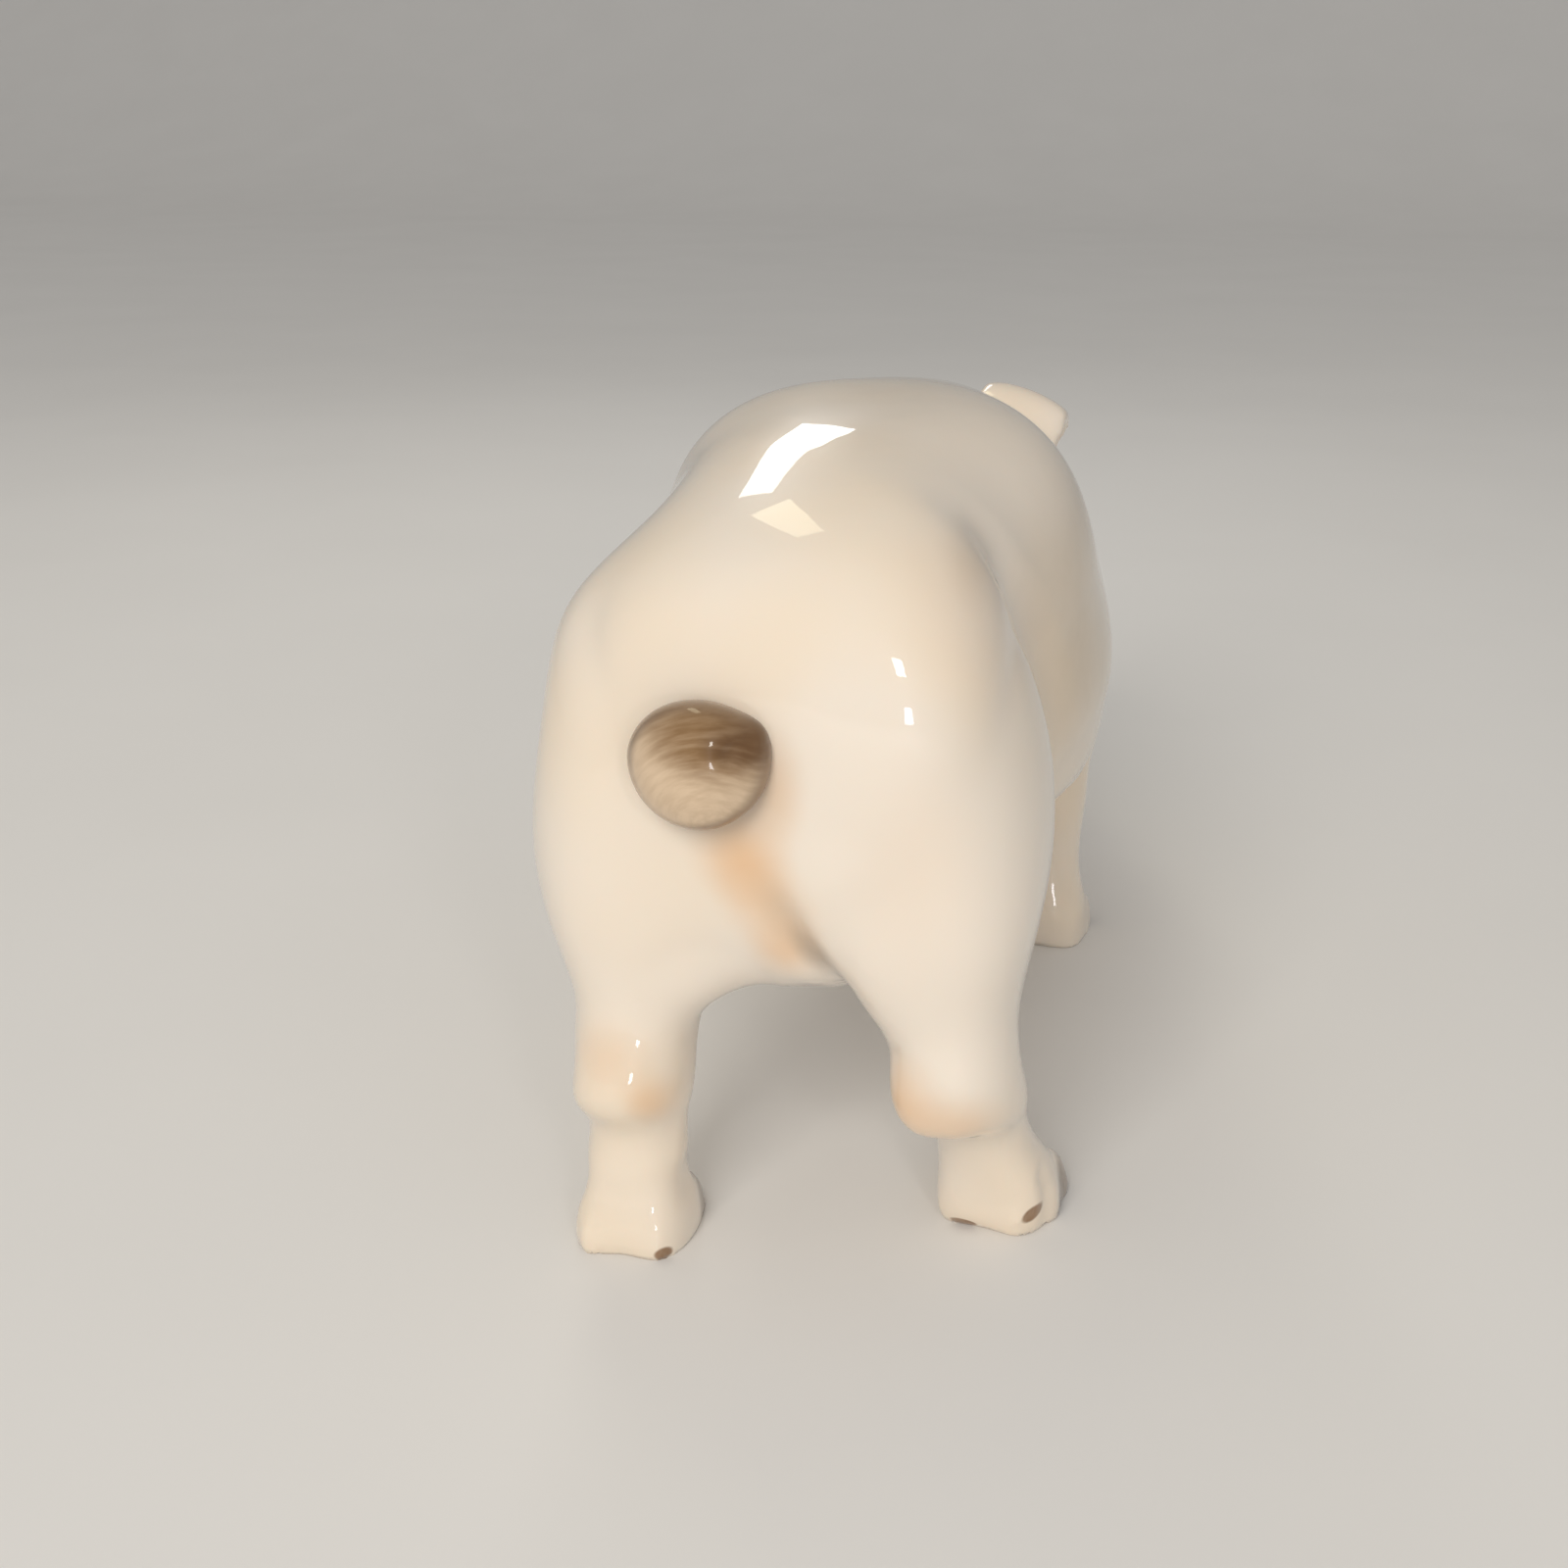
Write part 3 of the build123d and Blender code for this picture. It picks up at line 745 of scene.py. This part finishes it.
# Painted claws and dewclaws: middle, radii and turn in degrees
CLAWS = [
    ((12.3, 51.4, 0.0), (7.2, 6.6, 5.2), (0, 0, 3)),
    ((-22.0, 38.6, 0.0), (8.2, 9.3, 5.4), (0, 0, -11)),
    ((13.1, -37.3, 0.0), (7.2, 5.8, 5.4), (0, 0, 5)),
    ((-14.8, -24.9, 0.0), (7.2, 5.8, 5.4), (0, 0, -2)),
]
CLAW_CORE = 0.72
DEWCLAWS = [
    ((8.3, 62.6, 0.6), (1.35, 1.6, 0.95), (0, 0, 0)),
    ((-16.4, 49.6, 0.5), (1.45, 1.6, 0.60), (0, 0, 0)),
    ((-22.5, 49.2, 2.5), (1.45, 1.8, 0.85), (0, 45, 0)),
]
DEWCLAW_CORE = 0.75

# Painted eyes, from the lid's shadow to the dark middle: colour, strength, radii, core and turn in degrees
EYE_TONES = [
    (PEACH, 0.35, (5, 5, 4.4), 0.0, 0),
    (TAIL_DARK, 0.9, (2.0, 2.3, 1.55), 0.86, 32),
    (EYE_BROWN, 1.0, (1.65, 2.0, 1.30), 0.80, 32),
]

# Shade in the mouth, the nostrils and the vent: strength, radii, core, and how the mouth's line fades
MOUTH_SHADE = 0.55
MOUTH_LINE_EDGES = (0.65, 0.15)
MOUTH_FRONT_EDGES = (-1.5, 1.0)
MOUTH_FULL_SHARE = 0.6
NOSTRIL_SHADE = 0.85
NOSTRIL_SHADE_RADII = (1.5, 4, 2.0)
NOSTRIL_SHADE_CORE = 0.5
VENT_SHADE = 0.8
VENT_SHADE_RADII = (1.7, 1.7, 3.4)
VENT_SHADE_CORE = 0.85

# The tail's brushwork: streaks around the curl, then the brown cover and the painted shade in the curl's
# hollow as middle, radii, core and turn in degrees, and the painted shade on its edges and at its join
BRUSH_MIDDLE = (2.4, 65.0, 44.0)
STREAKS_OUTWARDS = 2100
STREAKS_AROUND = 2.2
STREAKS_BACKWARDS = 300
STREAK_EDGES = (0.25, 0.75)
STREAK_STRENGTH = 0.20
TAIL_COVER = ((2.6, 66, 51.6), (8.2, 9, 4.4), 0.30, (0, -16, 0))
COVER_LEAST = 0.75
COVER_SWING = 0.25
COVER_DARK = 0.22
# Painted shade in the hollow where the curl leaves the rump
TAIL_ROOT = ((0.3, 66, 50.9), (3.6, 9, 2.1), 0.25, (0, -24, 0))
ROOT_LEAST = 0.65
ROOT_SWING = 0.3
# Painted shade on the tail's edges, outside an ellipsoid over its face
TAIL_FACE = ((3.9, 65.0, 48.9), (6.0, 30, 5.5), 0.76)
RIM_SHADE = 0.95
# Painted shade and pooled brown glaze where the tail meets the rump
JOIN_EDGES = (-1.4, -3.4)
JOIN_SHADE_AND_POOL = 0.85


def glaze_paint():
    """Cream porcelain under clear glaze, with airbrushed peach, olive and pink, hand-painted brown, and
    painted shade in the folds, on the right flank and under the tail.
    """
    paint = Paint("cream_glaze", roughness=BODY_ROUGHNESS, coat=BODY_COAT)
    paint.shader.inputs["Subsurface Weight"].default_value = DEPTH_WEIGHT
    paint.shader.inputs["Subsurface Radius"].default_value = DEPTH_RATIO
    paint.shader.inputs["Subsurface Scale"].default_value = DEPTH_REACH * MM
    colour = paint.mix(CREAM, IVORY, paint.ease(paint.noise(CLOUD_SIZE), *CLOUD_EDGES))
    soft = SPRAY_LEAST + SPRAY_SWING * paint.noise(SPRAY_GRAIN, FINE_DETAIL)
    # Airbrushed tints, and painted shade in the folds, on the right flank and under the tail
    for tone, strength, centre, radii, turn in TINTS_AND_SHADE:
        colour = paint.mix(colour, tone, paint.spot(centre, radii, turn=turn) * soft * strength)
    for tone, strength, centre, radii in SPRAYS_ON_BOTH_SIDES:
        x, y, z = centre
        both = paint.spot(centre, radii) + paint.spot((-x, y, z), radii)
        colour = paint.mix(colour, tone, both * soft * strength)
    brush = BRUSH_LEAST + BRUSH_SWING * paint.noise(BRUSH_GRAIN, FINE_DETAIL, BRUSH_STRETCH)
    for centre, radii, turn in CLAWS:
        colour = paint.mix(colour, HOOF, paint.spot(centre, radii, CLAW_CORE, turn) * brush)
    for centre, radii, turn in DEWCLAWS:
        colour = paint.mix(colour, DEWCLAW, paint.spot(centre, radii, DEWCLAW_CORE, turn) * brush)
    colour = paint.mix(colour, SHADE, mouth_mask(paint) * MOUTH_SHADE)
    for side in (-1, 1):
        colour = paint_eye(paint, colour, side)
        x, y, z = NOSTRIL_PLACE
        nostril = paint.spot((side * x, y, z), NOSTRIL_SHADE_RADII, NOSTRIL_SHADE_CORE)
        colour = paint.mix(colour, SHADE, nostril * NOSTRIL_SHADE)
    vent = paint.spot(VENT_PLUG_PLACE, VENT_SHADE_RADII, VENT_SHADE_CORE)
    colour = paint.mix(colour, SHADE, vent * VENT_SHADE)
    paint.feed("Base Color", colour)
    speck = paint.ease(paint.noise(SPECK_SIZE, PLAIN_DETAIL), *SPECK_EDGES)
    paint.bump(paint.noise(WAVE_SIZE, PLAIN_DETAIL) + SPECK_HEIGHT * speck, WAVE_DEPTH)
    return paint


def mouth_mask(paint):
    """1 along the line of the mouth, fading out on the cheek."""
    _, along, height = paint.parts((0, *MOUTH_START))
    rise = paint.node("Math", {"operation": "ABSOLUTE"}, {0: height - along * MOUTH_SLOPE})
    outer, inner = MOUTH_LINE_EDGES
    line = paint.ease(rise, outer * MM, inner * MM)
    before, after = MOUTH_FRONT_EDGES
    start = paint.ease(along, before * MM, after * MM)
    return line * start * paint.ease(along, MOUTH_LENGTH * MM, MOUTH_FULL_SHARE * MOUTH_LENGTH * MM)


def paint_eye(paint, colour, side):
    """A dark painted eye with a brown ring and a soft shadow on its lid."""
    x, y, z = EYE_PLACE
    for tone, strength, radii, core, turn in EYE_TONES:
        spot = paint.spot((side * x, y, z), radii, core, (0, 0, side * turn))
        colour = paint.mix(colour, tone, spot * strength)
    return colour


def tail_paint():
    """Brown brushwork that follows the curl, under clear glaze, with painted shade in the curl's hollow, on
    its edges and with pooled glaze where it meets the rump.
    """
    paint = Paint("brown_glaze", roughness=TAIL_ROUGHNESS, coat=TAIL_COAT)
    across, back, height = paint.parts(BRUSH_MIDDLE)
    angle = paint.node("Math", {"operation": "ARCTAN2"}, {0: height, 1: across})
    reach = paint.node("Math", {"operation": "SQRT"}, {0: across * across + height * height})
    curl = paint.node("CombineXYZ", {}, {
        "X": reach * STREAKS_OUTWARDS,
        "Y": angle * STREAKS_AROUND,
        "Z": back * STREAKS_BACKWARDS,
    })
    streaks = paint.node("TexNoise", {}, {"Vector": curl, "Scale": 1.0, "Detail": FINE_DETAIL})
    streaks = paint.ease(streaks, *STREAK_EDGES)
    cover = paint.spot(*TAIL_COVER)
    root = paint.spot(*TAIL_ROOT)
    face = paint.spot(*TAIL_FACE)
    colour = paint.mix(TAIL_TAN, TAIL_BROWN, streaks * STREAK_STRENGTH)
    colour = paint.mix(colour, TAIL_BROWN, cover * (COVER_LEAST + COVER_SWING * streaks))
    colour = paint.mix(colour, TAIL_DARK, cover * streaks * COVER_DARK)
    # Painted shade in the curl's hollow, on the edges, and with pooled glaze at the join
    colour = paint.mix(colour, TAIL_DARK, root * (ROOT_LEAST + ROOT_SWING * streaks))
    colour = paint.mix(colour, TAIL_DARK, (1 - face) * RIM_SHADE)
    front, base = JOIN_EDGES
    join = paint.ease(back, front * MM, base * MM)
    colour = paint.mix(colour, TAIL_DARK, join * JOIN_SHADE_AND_POOL)
    paint.feed("Base Color", colour)
    return paint


def floor_paint():
    """A plain pale floor."""
    paint = Paint("pale_floor", roughness=FLOOR_ROUGHNESS)
    paint.feed("Base Color", paint.mix(*FLOOR_TONES, paint.noise(FLOOR_CLOUD_SIZE)))
    return paint


def add_floor():
    """A pale floor that turns up into a backdrop on the far side."""
    ground = bmesh.new()
    near = ground.verts.new((-FLOOR_REACH, FLOOR_REACH, 0))
    far = ground.verts.new((-FLOOR_REACH, -BACKDROP_DISTANCE, 0))
    ground.edges.new((near, far))
    bend = bmesh.ops.spin(
        ground, geom=[far], cent=(0, -BACKDROP_DISTANCE, BACKDROP_BEND), axis=(1, 0, 0),
        angle=-math.pi / 2, steps=BACKDROP_STEPS,
    )
    top = [item for item in bend["geom_last"] if isinstance(item, bmesh.types.BMVert)]
    wall = bmesh.ops.extrude_vert_indiv(ground, verts=top)
    bmesh.ops.translate(ground, verts=wall["verts"], vec=(0, 0, BACKDROP_HEIGHT))
    sweep = bmesh.ops.extrude_edge_only(ground, edges=list(ground.edges))
    side = [item for item in sweep["geom"] if isinstance(item, bmesh.types.BMVert)]
    bmesh.ops.translate(ground, verts=side, vec=(2 * FLOOR_REACH, 0, 0))
    bmesh.ops.recalc_face_normals(ground, faces=ground.faces)
    mesh = bpy.data.meshes.new("floor")
    ground.to_mesh(mesh)
    ground.free()
    floor = new_object("floor", mesh)
    for face in mesh.polygons:
        face.use_smooth = True
    floor.data.materials.append(floor_paint().material)


def add_lamp(name, place, target, power, size, colour, roll, glossy):
    """A soft rectangular lamp at a place, turned to a target, both in millimetres."""
    lamp = bpy.data.lights.new(name, "AREA")
    lamp.energy = power
    lamp.color = colour
    lamp.shape = "RECTANGLE"
    lamp.size = size[0] * MM
    lamp.size_y = size[1] * MM
    stand = bpy.data.objects.new(name, lamp)
    stand.location = Vector(place) * MM
    stand.rotation_mode = "QUATERNION"
    aim = (Vector(target) - Vector(place)).to_track_quat("-Z", "Y")
    stand.rotation_quaternion = aim @ Quaternion((0, 0, 1), math.radians(roll))
    stand.visible_camera = False
    stand.visible_glossy = glossy
    bpy.context.scene.collection.objects.link(stand)


def add_lights():
    """A soft room, a key behind the camera, a window and a glow ahead, and two small lamps on the right."""
    world = bpy.data.worlds.new("studio")
    bpy.context.scene.world = world
    world.use_nodes = True
    background = world.node_tree.nodes["Background"]
    background.inputs["Color"].default_value = ROOM_COLOUR
    background.inputs["Strength"].default_value = ROOM_STRENGTH
    for lamp in LAMPS:
        add_lamp(*lamp)


def add_camera():
    """The camera, turned and pitched towards the rump."""
    data = bpy.data.cameras.new("camera")
    data.lens = LENS_MM
    data.sensor_width = SENSOR_MM
    data.clip_start = CAMERA_NEAR
    data.clip_end = CAMERA_FAR
    camera = bpy.data.objects.new("camera", data)
    forward = Vector((
        math.sin(CAMERA_TURN) * math.cos(CAMERA_PITCH),
        -math.cos(CAMERA_TURN) * math.cos(CAMERA_PITCH),
        -math.sin(CAMERA_PITCH),
    ))
    camera.location = Vector(CAMERA_PLACE) * MM
    camera.rotation_mode = "QUATERNION"
    camera.rotation_quaternion = forward.to_track_quat("-Z", "Y")
    bpy.context.scene.collection.objects.link(camera)
    bpy.context.scene.camera = camera


skin = model_skin()
dress(skin, glaze_paint(), "body_glaze", "trunk", "head", "left_ear", "right_ear", "rear_left_leg",
      "rear_right_leg", "front_left_leg", "front_right_leg")
tail = model_tail()
dress(tail, tail_paint(), "tail_glaze", "tail")

add_floor()
add_lights()
add_camera()
bpy.context.scene.view_settings.view_transform = "Standard"
